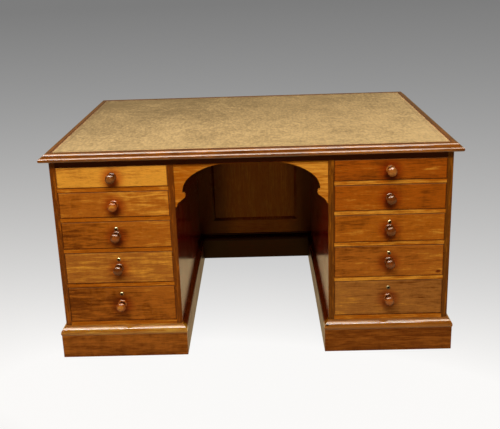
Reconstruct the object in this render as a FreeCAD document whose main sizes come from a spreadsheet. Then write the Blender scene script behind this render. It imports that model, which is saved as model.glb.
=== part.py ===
import FreeCAD, Part
import Sketcher
import math
import os

from FreeCAD import Placement, Rotation, Vector

# A kneehole library desk: two pedestals of five graduated drawers, an arched apron, a panelled
# back to the kneehole and a moulded top lined with leather. Millimetres, +Z up, front at -Y, +X
# to the right; the origin is on the floor under the middle of the desk's box.

SIZES = (
    ("top_width", 1435, "width over the moulded edge of the top"),
    ("top_depth", 915, "depth over the moulded edge of the top"),
    ("desk_height", 775, "floor to the rim of the top"),
    ("top_thickness", 27, "thickness of the moulded edge"),
    ("top_overhang", 27, "moulded edge beyond the carcass, all round"),
    ("nose_height", 15, "half-round nose at the foot of the moulded edge"),
    ("nose_step", 5.5, "flat between the nose and the round above it"),
    ("nose_fillet", 2, "upright fillet over that flat"),
    ("leather_margin", 38, "moulded edge to leather"),
    ("leather_thickness", 1.2, "skiver"),
    ("leather_drop", 0.3, "leather below the rim"),
    ("tongue_reach", 8, "tongue of the top panel in its edging"),
    ("tongue_thickness", 8, "tongue of the top panel"),
    ("kneehole_width", 529, "clear width between the pedestals"),
    ("knee_back_inset", 58, "kneehole back in from the carcass back"),
    ("side_thickness", 21, "pedestal side boards"),
    ("corner_round", 4, "rounding of the outer front corners"),
    ("inner_round", 2, "rounding of the front edges beside the kneehole"),
    ("arris_round", 1, "eased edges of the polished boards"),
    ("frieze_height", 24, "rail under the top"),
    ("frieze_depth", 70, "rail under the top, front to back"),
    ("top_block", 22, "glue blocks under the top, each way"),
    ("top_block_length", 90, "length of those blocks"),
    ("rail_thickness", 16, "drawer rails and runners"),
    ("rail_depth", 60, "drawer rails, front to back"),
    ("tenon_length", 8, "stub tenons of the rails"),
    ("tenon_setback", 8, "tenon behind the face of its rail"),
    ("runner_width", 24, "runner seen inside the pedestal"),
    ("housing_depth", 4, "runners and dust boards let into the sides"),
    ("dust_board_thickness", 9, "board under the lowest drawer"),
    ("dust_board_rise", 8, "that board above the foot of the carcass"),
    ("stop_width", 30, "drawer stop along the rail"),
    ("stop_depth", 12, "drawer stop, front to back"),
    ("stop_height", 5, "drawer stop above the rail"),
    ("stop_inset", 60, "drawer stop from the pedestal side"),
    ("frame_thickness", 20, "stiles and rails of the panelled backs"),
    ("frame_stile", 62, "width of their stiles"),
    ("frame_rail", 65, "width of their rails in sight"),
    ("frame_tenon", 25, "tenons of the rails in the stiles"),
    ("panel_thickness", 8, "panels of the backs"),
    ("panel_groove", 8, "groove round each panel"),
    ("bead_width", 13, "moulding round each panel"),
    ("bead_quirk", 2, "sunk line between frame and moulding"),
    ("bead_round", 26, "radius of the moulding's face"),
    ("plinth_height", 88, "plinth below its moulding"),
    ("plinth_projection", 15, "plinth beyond the carcass"),
    ("plinth_thickness", 20, "plinth boards"),
    ("plinth_block", 40, "glue blocks in the plinth's corners, each way"),
    ("plinth_block_height", 70, "height of those blocks"),
    ("moulding_height", 33, "moulding on the plinth"),
    ("moulding_lip", 2, "widest part of the moulding beyond the plinth"),
    ("moulding_crest", 2.5, "thickness of the moulding at its top"),
    ("moulding_fillet", 7, "upright fillet at its top"),
    ("moulding_widest", 8.3, "foot of the moulding to its widest part"),
    ("apron_thickness", 14, "arched apron"),
    ("apron_setback", 5, "apron behind the carcass front"),
    ("apron_crown", 4, "apron under the rail at the middle"),
    ("arch_flat", 168, "level part of the arch"),
    ("arch_haunch", 74, "radius of the arch at its springing"),
    ("arch_spring", 106, "springing of the arch below the rail"),
    ("bracket_offset", 26, "pedestal to the middle of the bracket's nose"),
    ("bracket_nose", 10, "radius of that nose"),
    ("bracket_scroll", 22, "radius of the hollow over the bracket's foot"),
    ("bracket_tip", 4, "width of the bracket at its foot"),
    ("bracket_drop", 157, "foot of the bracket below the rail"),
    ("drawer_gap", 0.8, "drawer front to pedestal side"),
    ("drawer_top_gap", 1.2, "drawer front to the rail over it"),
    ("drawer_foot_gap", 0.4, "drawer over its rail and runners"),
    ("front_thickness", 22, "drawer fronts"),
    ("lining_thickness", 10, "drawer sides and backs"),
    ("lining_drop", 4, "drawer sides below the top of the front"),
    ("drawer_back_drop", 8, "drawer back below the sides"),
    ("drawer_bottom", 7, "thickness of the drawer bottom"),
    ("drawer_bottom_rise", 9, "drawer bottom above the foot of the sides"),
    ("drawer_groove", 5, "groove for the drawer bottom"),
    ("drawer_rear_space", 40, "drawer to the back of the pedestal"),
    ("dovetail_lap", 5, "wood of the front over its dovetails"),
    ("dovetail_pitch", 32, "spacing aimed at for the tails"),
    ("dovetail_pin", 5, "narrow end of the pins"),
    ("knob_reach", 38, "knob out from the drawer front"),
    ("knob_radius", 17, "head of the knob"),
    ("knob_widest", 27, "drawer front to the widest of the head"),
    ("knob_rim", 8, "rounding of the head's rim"),
    ("knob_neck_top", 14, "drawer front to where the neck swells"),
    ("knob_collar_radius", 16.5, "collar against the front"),
    ("knob_collar", 6, "thickness of the collar"),
    ("knob_collar_round", 5.5, "rounding of the collar's edge"),
    ("knob_spigot_radius", 6, "peg in the front"),
    ("knob_spigot_cover", 5, "wood of the front behind the peg"),
    ("knob_key_gap", 0.4, "escutcheon to the collar of the knob under it"),
    ("key_drop", 27.5, "keyhole below the top of the front"),
    ("key_round", 2.4, "radius of the keyhole's eye"),
    ("key_slot_width", 2.4, "slot under the eye"),
    ("key_slot_drop", 6, "foot of the slot below the eye's centre"),
    ("escutcheon_radius", 7, "brass round the keyhole"),
    ("escutcheon_thickness", 3, "brass let into the front"),
    ("escutcheon_rim", 0.4, "upright edge of the brass in front of the wood"),
    ("escutcheon_bevel", 2, "width of the bevel inside that edge"),
    ("escutcheon_rise", 1, "bevel, from the edge to the brass's face"),
    ("lock_width", 44, "lock case"),
    ("lock_height", 42, "lock case"),
    ("lock_depth", 11, "lock case let into the front"),
    ("lock_plate_margin", 8, "back plate and top plate beyond the case, each side"),
    ("lock_plate_drop", 4, "back plate below the case"),
    ("lock_plate", 1.6, "thickness of those plates"),
    ("bolt_width", 20, "lock bolt"),
    ("bolt_thickness", 5, "lock bolt"),
    ("bolt_length", 20, "lock bolt"),
    ("bolt_throw", 6, "travel of the bolt when the key turns"),
    ("bolt_gap", 0.4, "running gap round the bolt"),
    ("overrun", 5, "cuts past the faces that they open"),
)

# Heights of the drawer openings from the top down, as shares of the height left for them.
OPENING_SHARES = (0.1453, 0.1797, 0.1931, 0.2256, 0.2563)
FIRST_LOCKED_DRAWER = 3
DOVETAIL_SLOPE = 7
DOVETAILS_AT_LEAST = 2
LEFT, RIGHT = "left", "right"
X, Y, Z = Vector(1, 0, 0), Vector(0, 1, 0), Vector(0, 0, 1)

doc = FreeCAD.newDocument("LibraryDesk")
sheet = doc.addObject("Spreadsheet::Sheet", "Dimensions")
nodes = []


class Size:
    """A length worked out from the sheet: its number and the expression that binds it."""

    def __init__(self, number, text):
        self.number = number
        self.text = text

    def __add__(self, other):
        return Size(self.number + number_of(other), f"({self.text} + {text_of(other)})")

    def __sub__(self, other):
        return Size(self.number - number_of(other), f"({self.text} - {text_of(other)})")

    def __mul__(self, other):
        return Size(self.number * number_of(other), f"({self.text} * {text_of(other)})")

    def __truediv__(self, other):
        return Size(self.number / number_of(other), f"({self.text} / {text_of(other)})")

    def __neg__(self):
        return Size(-self.number, f"(0 - {self.text})")

    __radd__ = __add__
    __rmul__ = __mul__


def number_of(value):
    return value.number if isinstance(value, Size) else value


def text_of(value):
    return value.text if isinstance(value, Size) else repr(value)


def larger(first, second):
    text = f"max({text_of(first)}; {text_of(second)})"
    return Size(max(number_of(first), number_of(second)), text)


def root(value):
    return Size(math.sqrt(value.number), f"sqrt({value.text})")


def fill_sheet():
    """Write each driving size and its note to the sheet, and return the sizes by name."""
    found = {}
    for row, (name, number, note) in enumerate(SIZES, start=1):
        sheet.set(f"A{row}", str(number))
        sheet.setAlias(f"A{row}", name)
        sheet.set(f"B{row}", note)
        found[name] = Size(number, f"Dimensions.{name}")
    doc.recompute()
    return found


def bind(thing, path, value):
    if isinstance(value, Size):
        thing.setExpression(path, value.text)


def place(thing, corner, rotation=None):
    """Put an object at a corner whose coordinates are sizes."""
    if rotation is not None:
        thing.Placement = Placement(Vector(), rotation)
    for axis, value in zip("xyz", corner):
        bind(thing, f".Placement.Base.{axis}", value)
    return thing


def box(name, corner, size):
    solid = doc.addObject("Part::Box", name)
    for path, value in zip(("Length", "Width", "Height"), size):
        bind(solid, path, value)
    return place(solid, corner)


def cylinder(name, centre, radius, height, axis=Z):
    solid = doc.addObject("Part::Cylinder", name)
    bind(solid, "Radius", radius)
    bind(solid, "Height", height)
    return place(solid, centre, Rotation(Z, axis))


def wedge(name, foot, head, depth, height, corner=(0, 0, 0), rotation=None):
    """A prism between the X ranges foot, at Y 0, and head, at Y depth, each (low, high)."""
    solid = doc.addObject("Part::Wedge", name)
    ranges = {"Xmin": foot[0], "Xmax": foot[1], "X2min": head[0], "X2max": head[1],
              "Ymin": 0, "Ymax": depth, "Zmin": 0, "Zmax": height, "Z2min": 0, "Z2max": height}
    for path, value in ranges.items():
        setattr(solid, path, number_of(value))
        bind(solid, path, value)
    return place(solid, corner, rotation)


def fuse(name, parts):
    solid = doc.addObject("Part::MultiFuse", name)
    solid.Shapes = parts
    return solid


def group(name, parts):
    compound = doc.addObject("Part::Compound", name)
    compound.Links = parts
    return compound


def cut(name, base, tools):
    solid = doc.addObject("Part::Cut", name)
    solid.Base = base
    solid.Tool = tools[0] if len(tools) == 1 else group(f"{name}_tools", tools)
    return solid


def node(label, thing):
    """Name an object as one of the desk's own sub-parts."""
    thing.Label = label
    nodes.append(thing)
    return thing


def arc_middle(start, end, radius):
    """Middle of the short arc from start to end; its centre is on the left if radius > 0."""
    chord = end - start
    half = chord.Length / 2
    sagitta = abs(radius) - math.sqrt(max(radius * radius - half * half, 0))
    outward = Vector(chord.y, -chord.x, 0).normalize() * math.copysign(1, radius)
    return start + chord / 2 + outward * sagitta


def draw(sketch, corners):
    """Draw a closed outline in a sketch and bind it: each corner is (x, y), or (x, y, radius)
    where an arc runs to it from the corner before, curving to the left if radius > 0."""
    points = [Vector(number_of(corner[0]), number_of(corner[1]), 0) for corner in corners]
    shapes = []
    for index, corner in enumerate(corners):
        start, end = points[index - 1], points[index]
        if len(corner) == 3:
            shapes.append(Part.Arc(start, arc_middle(start, end, number_of(corner[2])), end))
        else:
            shapes.append(Part.LineSegment(start, end))
    sketch.addGeometry(shapes, False)
    start_first = [(sketch.getPoint(index, 1) - points[index - 1]).Length
                   < (sketch.getPoint(index, 2) - points[index - 1]).Length
                   for index in range(len(corners))]
    for index, corner in enumerate(corners):
        after = (index + 1) % len(corners)
        own_end = 2 if start_first[index] else 1
        next_start = 1 if start_first[after] else 2
        sketch.addConstraint(Sketcher.Constraint("Coincident", index, own_end, after, next_start))
        for kind, value, axis in (("DistanceX", corner[0], -2), ("DistanceY", corner[1], -1)):
            if not isinstance(value, Size):
                rule = Sketcher.Constraint("PointOnObject", index, own_end, axis)
                sketch.addConstraint(rule)
                continue
            rule = Sketcher.Constraint(kind, -1, 1, index, own_end, value.number)
            bind(sketch, f"Constraints[{sketch.addConstraint(rule)}]", value)
        if len(corner) == 3:
            radius = corner[2] if number_of(corner[2]) > 0 else -corner[2]
            rule = Sketcher.Constraint("Radius", index, radius.number)
            bind(sketch, f"Constraints[{sketch.addConstraint(rule)}]", radius)
    return sketch


def body_sketch(body, plane_role, corners):
    """A bound sketch on one of a body's origin planes."""
    plane = next(item for item in body.Origin.OriginFeatures if item.Role == plane_role)
    sketch = body.newObject("Sketcher::SketchObject", f"{body.Name}_outline")
    sketch.AttachmentSupport = [(plane, "")]
    sketch.MapMode = "FlatFace"
    return draw(sketch, corners)


def pad_body(name, corner, outline, thickness):
    """A board with the given outline seen from the front, padded back from the corner's Y."""
    body = doc.addObject("PartDesign::Body", name)
    pad = body.newObject("PartDesign::Pad", f"{name}_pad")
    pad.Profile = body_sketch(body, "XZ_Plane", outline)
    pad.Reversed = True
    bind(pad, "Length", thickness)
    return place(body, corner)


def ease_edges(body, wanted, radius):
    """Round the edges of a padded body whose middles the test picks, in the body's own frame."""
    doc.recompute()
    base = body.Tip
    picked = [f"Edge{index}" for index, edge in enumerate(base.Shape.Edges, start=1)
              if wanted(edge.CenterOfMass)]
    rounding = body.newObject("PartDesign::Fillet", f"{body.Name}_rounding")
    rounding.Base = (base, picked)
    bind(rounding, "Radius", radius)
    return body


def rectangle(width, height):
    return ((0, 0), (width, 0), (width, height), (0, height))


def near(first, second):
    return abs(first - number_of(second)) < number_of(size["arris_round"]) / 2


def on_axes(along, across, level, a_axis, b_axis):
    """World coordinates of a place given along two axes and their normal."""
    normal = a_axis.cross(b_axis)
    places = []
    for pick in ("x", "y", "z"):
        total = 0
        for value, axis in ((along, a_axis), (across, b_axis), (level, normal)):
            turn = round(getattr(axis, pick))
            if turn > 0:
                total = total + value
            elif turn < 0:
                total = total + (-value)
        places.append(total)
    return places


def ring(name, a_axis, b_axis, a_range, b_range, level, width, height, profile=None):
    """Four mitred strips round a rectangle. Across each strip, 0 is its outer edge; a profile
    is an outline of (across, up) corners, and without one the strip is square."""
    lengths = (a_range[1] - a_range[0], b_range[1] - b_range[0]) * 2
    starts = ((a_range[0], b_range[0]), (a_range[1], b_range[0]),
              (a_range[1], b_range[1]), (a_range[0], b_range[1]))
    axes = ((a_axis, b_axis), (b_axis, -a_axis), (-a_axis, -b_axis), (-b_axis, a_axis))
    strips = []
    for index, (length, start, (along, across)) in enumerate(zip(lengths, starts, axes), start=1):
        corner = on_axes(start[0], start[1], level, a_axis, b_axis)
        turn = Rotation(along, across, along.cross(across), "ZXY")
        title = f"{name}_{index}"
        foot, head = (0, length), (width, length - width)
        if profile is None:
            strips.append(wedge(title, foot, head, width, height, corner, turn))
            continue
        sketch = draw(doc.addObject("Sketcher::SketchObject", f"{title}_profile"), profile)
        sketch.Placement = Placement(Vector(), Rotation(Y, Z, X, "ZXY"))
        bar = doc.addObject("Part::Extrusion", f"{title}_bar")
        bar.Base = sketch
        bar.DirMode = "Normal"
        bar.Solid = True
        bind(bar, "LengthFwd", length)
        strip = doc.addObject("Part::MultiCommon", title)
        strip.Shapes = [bar, wedge(f"{title}_mitres", foot, head, width, height)]
        strips.append(place(strip, corner, turn))
    return strips


size = fill_sheet()

# Places that follow from the driving sizes.
top_front = -(size["top_depth"] - larger(size["knob_reach"] - size["top_overhang"], 0)) / 2
top_back = top_front + size["top_depth"]
carcass_front = top_front + size["top_overhang"]
carcass_back = top_back - size["top_overhang"]
carcass_half = size["top_width"] / 2 - size["top_overhang"]
carcass_foot = size["plinth_height"]
carcass_top = size["desk_height"] - size["top_thickness"]
knee_half = size["kneehole_width"] / 2
pedestal_width = carcass_half - knee_half
opening_width = pedestal_width - size["side_thickness"] * 2
frieze_foot = carcass_top - size["frieze_height"]
moulding_top = size["plinth_height"] + size["moulding_height"]
opening_total = frieze_foot - moulding_top - size["rail_thickness"] * len(OPENING_SHARES)
frame_front = carcass_back - size["frame_thickness"]
knee_back = frame_front - size["knee_back_inset"]
drawer_length = frame_front - size["drawer_rear_space"] - carcass_front
pedestal_start = {LEFT: -carcass_half, RIGHT: knee_half}
opening_start = {side: pedestal_start[side] + size["side_thickness"] for side in (LEFT, RIGHT)}


def drawer_openings():
    """Foot and height of each opening, from the top one down."""
    found = []
    top = frieze_foot
    for share in OPENING_SHARES:
        height = opening_total * share
        found.append((top - height, height))
        top = top - height - size["rail_thickness"]
    return found


def make_top():
    """Moulded edging in four mitred lengths, tongued to a panel that carries the leather."""
    nose = size["nose_height"] / 2
    step = nose + size["nose_step"]
    upper = size["top_thickness"] - size["nose_height"] - size["nose_fillet"]
    width, height = size["leather_margin"], size["top_thickness"]
    profile = ((width, 0), (width, height), (step + upper, height),
               (step, height - upper, upper), (step, size["nose_height"]),
               (nose, size["nose_height"]), (0, nose, nose), (nose, 0, nose))
    half = size["top_width"] / 2
    lengths = ring("edging", X, Y, (-half, half), (top_front, top_back), carcass_top,
                   width, height, profile)
    inner_half, inner_front = half - width, top_front + width
    inner_depth = size["top_depth"] - width * 2
    reach = size["tongue_reach"]
    leather_foot = size["desk_height"] - size["leather_drop"] - size["leather_thickness"]
    blank = box("top_blank", (-inner_half, inner_front, carcass_top),
                (inner_half * 2, inner_depth, leather_foot - carcass_top))
    tongue_foot = carcass_top + (height - size["tongue_thickness"]) / 2
    tongue = box("top_tongue", (-inner_half - reach, inner_front - reach, tongue_foot),
                 (inner_half * 2 + reach * 2, inner_depth + reach * 2, size["tongue_thickness"]))
    panel = fuse("top_panel", [blank, tongue])
    edging = [cut(f"edging_grooved_{index}", strip, [panel])
              for index, strip in enumerate(lengths, start=1)]
    node("top_edging", group("top_edging", edging))
    node("top_panel", panel)
    node("writing_leather", box("writing_leather", (-inner_half, inner_front, leather_foot),
                                (inner_half * 2, inner_depth, size["leather_thickness"])))


def make_rails():
    """Drawer rails with stub tenons, mortised from below where a lock bolt rises."""
    rails = []
    for side in (LEFT, RIGHT):
        start = opening_start[side]
        for number, (foot, _) in enumerate(drawer_openings(), start=1):
            lowest = number == len(OPENING_SHARES)
            depth = size["rail_depth"]
            rail_foot = carcass_foot if lowest else foot - size["rail_thickness"]
            thickness = foot - rail_foot
            title = f"{side}_rail_{number}"
            board = box(title, (start, carcass_front, rail_foot),
                        (opening_width, depth, thickness))
            reach, setback = size["tenon_length"], size["tenon_setback"]
            tenon = box(f"{title}_tenon", (start - reach, carcass_front + setback, rail_foot),
                        (opening_width + reach * 2, depth - setback * 2, thickness))
            rail = fuse(f"{title}_whole", [board, tenon])
            if FIRST_LOCKED_DRAWER - 1 <= number < len(OPENING_SHARES):
                rail = cut(f"{title}_mortised", rail, [bolt_room(side, number + 1, "mortise")])
            rails.append(rail)
    return node("drawer_rails", group("drawer_rails", rails))


def make_frieze():
    """One rail across the whole front, just under the top."""
    half = carcass_half - size["side_thickness"]
    reach, setback = size["tenon_length"], size["tenon_setback"]
    depth, height = size["frieze_depth"], size["frieze_height"]
    board = box("frieze_board", (-half, carcass_front, frieze_foot), (half * 2, depth, height))
    tenon = box("frieze_tenon", (-half - reach, carcass_front + setback, frieze_foot),
                (half * 2 + reach * 2, depth - setback * 2, height))
    return node("frieze_rail", fuse("frieze_rail", [board, tenon]))


def make_runners():
    """Runners level with the rails, and kickers over the top drawers."""
    strips = []
    reach = size["housing_depth"]
    width = size["runner_width"] + reach
    for side in (LEFT, RIGHT):
        start = opening_start[side]
        starts = (start - reach, start + opening_width - size["runner_width"])
        for number, (foot, _) in enumerate(drawer_openings(), start=1):
            front = carcass_front + size["rail_depth"]
            for hand, left in enumerate(starts, start=1):
                strips.append(box(f"{side}_runner_{number}_{hand}",
                                  (left, front, foot - size["rail_thickness"]),
                                  (width, frame_front - front, size["rail_thickness"])))
        front = carcass_front + size["frieze_depth"]
        for hand, left in enumerate(starts, start=1):
            strips.append(box(f"{side}_kicker_{hand}", (left, front, frieze_foot),
                              (width, frame_front - front, size["frieze_height"])))
    return node("drawer_runners", group("drawer_runners", strips))


def make_dust_boards():
    boards = []
    reach = size["housing_depth"]
    front = carcass_front + size["rail_depth"]
    for side in (LEFT, RIGHT):
        boards.append(box(f"{side}_dust_board",
                          (opening_start[side] - reach, front,
                           carcass_foot + size["dust_board_rise"]),
                          (opening_width + reach * 2, frame_front - front,
                           size["dust_board_thickness"])))
    return node("dust_boards", group("dust_boards", boards))


def make_stops():
    """Two blocks on each rail, which the inside of the drawer front meets."""
    blocks = []
    front = carcass_front + size["front_thickness"] + size["drawer_foot_gap"]
    for side in (LEFT, RIGHT):
        start = opening_start[side]
        places = (start + size["stop_inset"],
                  start + opening_width - size["stop_inset"] - size["stop_width"])
        for number, (foot, _) in enumerate(drawer_openings(), start=1):
            for hand, left in enumerate(places, start=1):
                blocks.append(box(f"{side}_stop_{number}_{hand}", (left, front, foot),
                                  (size["stop_width"], size["stop_depth"], size["stop_height"])))
    node("drawer_stops", group("drawer_stops", blocks))


def make_sides(housed):
    """Side boards of both pedestals, housed for the pieces that they carry."""
    thickness = size["side_thickness"]
    depth = carcass_back - carcass_front
    height = carcass_top - carcass_foot
    for side in (LEFT, RIGHT):
        boards = []
        outer_left = side == LEFT
        starts = (pedestal_start[side], pedestal_start[side] + pedestal_width - thickness)
        for position, start in enumerate(starts, start=1):
            outer = (position == 1) == outer_left
            rounding = size["corner_round"] if outer else size["inner_round"]
            face = 0 if position == 1 else thickness
            title = f"{side}_side_{position}"
            board = pad_body(title, (start, carcass_front, carcass_foot),
                             rectangle(thickness, height), depth)
            ease_edges(board, lambda at: near(at.x, face) and near(at.y, 0), rounding)
            boards.append(cut(f"{title}_housed", board, housed))
        node(f"{side}_pedestal_sides", group(f"{side}_pedestal_sides", boards))


def framed_panel(name, start, width, front, foot_rail, facing):
    """Stiles, rails, a panel in their groove and a mitred moulding round it. Facing is -1 for
    a moulding seen from the front and 1 for one seen from behind."""
    thickness, stile = size["frame_thickness"], size["frame_stile"]
    height = carcass_top - carcass_foot
    head_rail, reach = size["frame_rail"], size["frame_tenon"]
    tenon_depth = size["panel_thickness"]
    middle = front + (thickness - tenon_depth) / 2
    groove = size["panel_groove"]
    inner_width = width - stile * 2
    inner_foot, inner_top = carcass_foot + foot_rail, carcass_top - head_rail
    panel = box(f"{name}_panel", (start + stile - groove, middle, inner_foot - groove),
                (inner_width + groove * 2, tenon_depth, inner_top - inner_foot + groove * 2))
    rails, tenons = [], []
    for title, foot, tall in (("foot", carcass_foot, foot_rail), ("head", inner_top, head_rail)):
        board = box(f"{name}_{title}_rail", (start + stile, front, foot),
                    (inner_width, thickness, tall))
        tenon = box(f"{name}_{title}_tenon", (start + stile - reach, middle, foot),
                    (inner_width + reach * 2, tenon_depth, tall))
        tenons.append(tenon)
        rails.append(cut(f"{name}_{title}_grooved",
                         fuse(f"{name}_{title}_whole", [board, tenon]), [panel]))
    stiles = []
    for hand, left in enumerate((start, start + width - stile), start=1):
        board = box(f"{name}_stile_{hand}", (left, front, carcass_foot),
                    (stile, thickness, height))
        stiles.append(cut(f"{name}_stile_{hand}_worked", board, [panel] + tenons))
    bead_depth = (thickness - tenon_depth) / 2
    quirk = size["bead_quirk"]
    bead = size["bead_width"]
    profile = ((bead, 0), (quirk, bead_depth, size["bead_round"]), (quirk, bead_depth - quirk),
               (0, bead_depth - quirk), (0, 0))
    if facing < 0:
        a_axis, a_range, level = X, (start + stile, start + width - stile), -middle
    else:
        a_axis, a_range = -X, (-start - width + stile, -start - stile)
        level = middle + tenon_depth
    beads = ring(f"{name}_bead", a_axis, Z, a_range, (inner_foot, inner_top), level,
                 bead, bead_depth, profile)
    return stiles + rails, panel, beads


def make_backs():
    """Framed and panelled backs: one in each pedestal and one across the kneehole."""
    foot_rail = size["moulding_height"] + size["frame_rail"]
    frames, panels, beads = [], [], []
    works = [(f"{side}_back", opening_start[side], opening_width, frame_front, 1)
             for side in (LEFT, RIGHT)]
    works.append(("knee_back", -knee_half, knee_half * 2, knee_back, -1))
    for name, start, width, front, facing in works:
        frame, panel, bead = framed_panel(name, start, width, front, foot_rail, facing)
        frames += frame
        panels.append(panel)
        beads += bead
    node("back_frames", group("back_frames", frames))
    node("back_panels", group("back_panels", panels))
    node("panel_mouldings", group("panel_mouldings", beads))


def make_plinth():
    """Mitred plinth boards and their moulding round each pedestal, coped at the kneehole.
    Under its fillet the moulding swells in one arc to its widest part, and a second arc
    brings it back to the face of the plinth."""
    proud = size["plinth_projection"]
    reach = proud + size["moulding_lip"]
    tall = size["moulding_height"]
    crest, lip, widest = size["moulding_crest"], size["moulding_lip"], size["moulding_widest"]
    swell, rise = reach - crest, tall - size["moulding_fillet"] - widest
    profile = ((reach, 0), (reach, tall), (swell, tall), (swell, widest + rise),
               (0, widest, (swell * swell + rise * rise) / (swell * 2)),
               (lip, 0, (lip * lip + widest * widest) / (lip * 2)))
    knee_frame = box("knee_frame_room", (-knee_half, knee_back, size["plinth_height"]),
                     (knee_half * 2, size["frame_thickness"], tall))
    boards, mouldings = [], []
    for side, kneehole_strip in ((LEFT, 1), (RIGHT, 3)):
        start = pedestal_start[side]
        end = start + pedestal_width
        boards += ring(f"{side}_plinth", X, Y, (start - proud, end + proud),
                       (carcass_front - proud, carcass_back + proud), 0,
                       size["plinth_thickness"], size["plinth_height"])
        strips = ring(f"{side}_moulding", X, Y, (start - reach, end + reach),
                      (carcass_front - reach, carcass_back + reach), size["plinth_height"],
                      reach, tall, profile)
        strips[kneehole_strip] = cut(f"{side}_moulding_parted", strips[kneehole_strip],
                                     [knee_frame])
        mouldings += strips
    inner_half = knee_half - proud
    boards.append(box("knee_plinth", (-inner_half, knee_back - proud, 0),
                      (inner_half * 2, proud + size["frame_thickness"], size["plinth_height"])))
    sketch = draw(doc.addObject("Sketcher::SketchObject", "knee_moulding_profile"), profile)
    sketch.Placement = Placement(Vector(), Rotation(Y, Z, X, "ZXY"))
    bar = doc.addObject("Part::Extrusion", "knee_moulding_bar")
    bar.Base = sketch
    bar.DirMode = "Normal"
    bar.Solid = True
    bind(bar, "LengthFwd", knee_half * 2)
    place(bar, (-knee_half, knee_back - reach, size["plinth_height"]))
    coped = cut("knee_moulding", bar, list(mouldings))
    node("plinth_boards", group("plinth_boards", boards))
    node("plinth_moulding", group("plinth_moulding", mouldings + [coped]))


def make_glue_blocks():
    """Blocks in the plinth's corners that carry the sides, and blocks behind the frieze rail
    and the head of the kneehole back that hold the top."""
    blocks = []
    side_of, tall = size["plinth_block"], size["plinth_block_height"]
    inset = size["plinth_thickness"] - size["plinth_projection"]
    foot = carcass_foot - tall
    for side in (LEFT, RIGHT):
        start = pedestal_start[side] + inset
        end = pedestal_start[side] + pedestal_width - inset - side_of
        for turn, along in enumerate((carcass_front + inset, carcass_back - inset - side_of)):
            for hand, across in enumerate((start, end)):
                blocks.append(box(f"{side}_plinth_block_{turn}_{hand}", (across, along, foot),
                                  (side_of, side_of, tall)))
    section, length = size["top_block"], size["top_block_length"]
    spacing = knee_half / 2
    for turn, along in enumerate((carcass_front + size["frieze_depth"], knee_back - section)):
        for hand, middle in enumerate((-spacing, spacing)):
            blocks.append(box(f"top_block_{turn}_{hand}",
                              (middle - length / 2, along, carcass_top - section),
                              (length, section, section)))
    node("glue_blocks", group("glue_blocks", blocks))


def make_apron():
    """Arched board under the frieze rail, with a scrolled bracket at each end. Half of its
    lower edge runs from the foot of a bracket to the level crown. A straight slope touches the
    bracket's hollow and its nose, and the arch has three centres."""
    offset, nose, scroll = size["bracket_offset"], size["bracket_nose"], size["bracket_scroll"]
    drop, hollow_x = size["bracket_drop"], knee_half - size["bracket_tip"] - scroll
    spring, crown, haunch = size["arch_spring"], size["apron_crown"], size["arch_haunch"]
    flat_half = size["arch_flat"] / 2
    span = knee_half - offset - flat_half
    rise = spring - crown
    wide = span - haunch
    sweep = (wide * wide + rise * rise - haunch * haunch) / ((rise - haunch) * 2)
    touch_x = knee_half - offset - haunch + haunch * wide / (sweep - haunch)
    touch_z = -spring + haunch * (sweep - rise) / (sweep - haunch)
    nose_x, nose_z = knee_half - offset, -spring - nose
    across, fall = hollow_x - nose_x, nose_z + drop
    reach = nose + scroll
    apart = across * across + fall * fall
    slope = root(apart - reach * reach)
    lean_x = (across * reach - fall * slope) / apart
    lean_z = (fall * reach + across * slope) / apart
    right = ((knee_half, 0, None), (knee_half, -drop, None),
             (hollow_x + scroll, -drop, -scroll),
             (hollow_x - lean_x * scroll, lean_z * scroll - drop, None),
             (nose_x + lean_x * nose, nose_z - lean_z * nose, nose),
             (nose_x - nose, nose_z, nose),
             (nose_x, -spring, -haunch),
             (touch_x, touch_z, -sweep),
             (flat_half, -crown, None))
    left = [(-x, z) for x, z, radius in right]
    for index in range(1, len(left)):
        radius = right[index - 1][2]
        if radius is not None:
            left[index] += (radius,)
    back = [(x, z) if radius is None else (x, z, radius) for x, z, radius in reversed(right)]
    apron = pad_body("arched_apron", (0, carcass_front + size["apron_setback"], frieze_foot),
                     left + back, size["apron_thickness"])
    node("arched_apron", apron)


def drawer_front_sizes(number):
    """Foot and height of a drawer front."""
    foot, opening = drawer_openings()[number - 1]
    gap = size["drawer_foot_gap"]
    return foot + gap, opening - gap - size["drawer_top_gap"]


def drawer_middle(side):
    return opening_start[side] + opening_width / 2


def bolt_room(side, number, kind):
    """Room for a lock bolt: its slot in the lock, or its mortise in the rail above."""
    foot, tall = drawer_front_sizes(number)
    gap = size["bolt_gap"]
    top = foot + tall
    back = carcass_front + size["front_thickness"] - size["lock_plate"]
    front = back - (size["lock_depth"] - size["lock_plate"] + size["bolt_thickness"]) / 2
    corner_x = drawer_middle(side) - size["bolt_width"] / 2 - gap
    wide, thick = size["bolt_width"] + gap * 2, size["bolt_thickness"] + gap * 2
    if kind == "mortise":
        return box(f"{side}_mortise_{number}", (corner_x, front - gap, top),
                   (wide, thick, size["drawer_top_gap"] + size["bolt_throw"] + gap))
    if kind == "slot":
        return box(f"{side}_slot_{number}", (corner_x, front - gap, top - size["bolt_length"] - gap),
                   (wide, thick, size["bolt_length"] + size["overrun"]))
    return box(f"{side}_drawer_{number}_bolt", (corner_x + gap, front, top - size["bolt_length"]),
               (size["bolt_width"], size["bolt_thickness"], size["bolt_length"]))


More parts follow.
